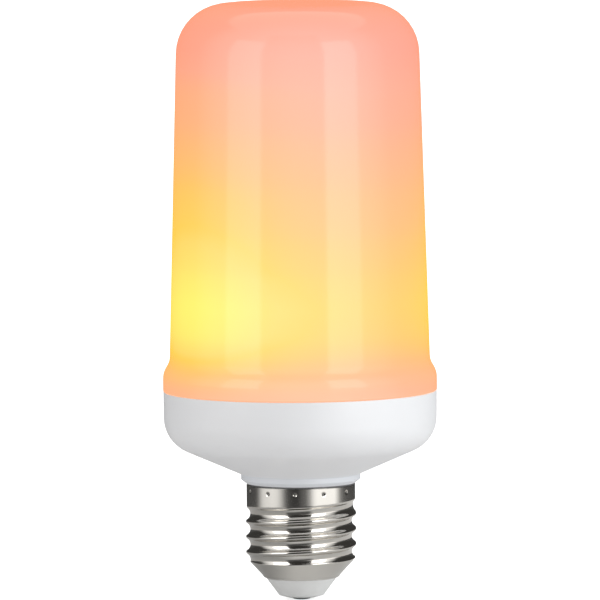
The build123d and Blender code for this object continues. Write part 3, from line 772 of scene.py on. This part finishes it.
ring_strength = 1.5
ring_levels = (
    (-180, 0.08), (-112, 0.085), (-104, 0.15), (-98, 0.32), (-92, 0.62), (-85, 0.9), (-78, 1.0),
    (-60, 1.1), (-50, 1.0), (-42, 0.7), (-36, 0.36), (-31, 0.15), (-24, 0.08), (-15, 0.05),
    (-6, 0.055), (2, 0.13), (10, 0.19), (18, 0.5), (23, 0.9), (28, 1.22), (34, 1.4),
    (74, 1.4), (80, 1.0), (86, 0.55), (92, 0.26), (100, 0.14), (112, 0.09), (180, 0.08),
)
tree = stand_card("low_ring", -180, 180, 0.175, 0.032)
place = own_place(tree)
ahead = sum_of(tree, "MULTIPLY", axis_of(tree, place, "Y"), -1.0)
round_lamp = sum_of(tree, "ARCTAN2", axis_of(tree, place, "X"), ahead)
share = sum_of(tree, "MULTIPLY_ADD", round_lamp, 0.5 / math.pi, 0.5)
ring_stops = [((azimuth + 180) / 360, level / ring_strength) for azimuth, level in ring_levels]
graded = add_node(
    tree, "ShaderNodeEmission", Color=ramp_of(tree, share, "LINEAR", ring_stops), Strength=ring_strength
)
add_node(tree, "ShaderNodeOutputMaterial", Surface=graded.outputs[0])

# Lights: a tall softbox on each side of the camera that shows in reflections, a broad fill from
# the right that lights what is matt, and a pale room that looks white to the camera and in metal.


def hang_light(name, azimuth, away, height, lean, wide, tall, strength, colour=(1, 1, 1)):
    """A rectangular light that faces the lamp's axis, with a lean of 90 when it is upright."""
    light = bpy.data.lights.new(name, "AREA")
    light.shape = "RECTANGLE"
    light.size = wide
    light.size_y = tall
    light.color = colour
    light.energy = strength * math.pi * wide * tall
    hung = bpy.data.objects.new(name, light)
    bpy.context.scene.collection.objects.link(hung)
    hung.location = spot(azimuth, away, height)
    hung.rotation_euler = (math.radians(lean), 0, math.radians(azimuth))
    hung.visible_camera = False
    return hung


for name, azimuth, strength in (("left_softbox", -50.5, 2.3), ("right_softbox", 39, 2.9)):
    softbox = hang_light(
        name, azimuth, away=0.7, height=0.35, lean=90, wide=0.44, tall=0.62, strength=strength
    )
    softbox.visible_diffuse = False
fill_colour = (0.94, 0.98, 1.0)
side_fill = hang_light(
    "side_fill", 68, away=1.45, height=0.5, lean=74, wide=1.0, tall=1.0, strength=2.7, colour=fill_colour
)
side_fill.visible_glossy = False

room_light = 0.88
white_light = 1.15
world = bpy.data.worlds.new("pale_room")
bpy.context.scene.world = world
world.use_nodes = True
world.cycles.sampling_method = "NONE"
tree = world.node_tree
tree.nodes.clear()
seen = add_node(tree, "ShaderNodeLightPath").outputs
reflected = sum_of(tree, "MAXIMUM", seen["Is Camera Ray"], seen["Is Glossy Ray"])
shown = sum_of(tree, "MAXIMUM", reflected, seen["Is Transmission Ray"])
room = add_node(tree, "ShaderNodeBackground", Color=(1, 1, 1, 1), Strength=room_light)
white = add_node(tree, "ShaderNodeBackground", Color=(1, 1, 1, 1), Strength=white_light)
mix = add_node(tree, "ShaderNodeMixShader", in0=shown, in1=room.outputs[0], in2=white.outputs[0])
add_node(tree, "ShaderNodeOutputWorld", Surface=mix.outputs[0])

# Camera: a long lens a little above the lamp's middle, turned under half a degree on its own axis,
# as the photograph was taken.
elevation = math.radians(4.7)
roll = math.radians(-0.43)
distance = 2.4
aim = Vector((0.00014, 0, 0.07079))
picture_width = 0.14136
sensor_width = 36
lens = bpy.data.cameras.new("camera")
lens.sensor_width = sensor_width
lens.lens = sensor_width * distance / picture_width
lens.clip_end = 20
camera = bpy.data.objects.new("camera", lens)
bpy.context.scene.collection.objects.link(camera)
stand = Matrix.Translation(aim + distance * Vector((0, -math.cos(elevation), math.sin(elevation))))
level_view = Matrix.Rotation(math.pi / 2 - elevation, 4, "X")
camera.matrix_world = stand @ level_view @ Matrix.Rotation(roll, 4, "Z")
bpy.context.scene.camera = camera
bpy.context.scene.view_settings.view_transform = "Standard"
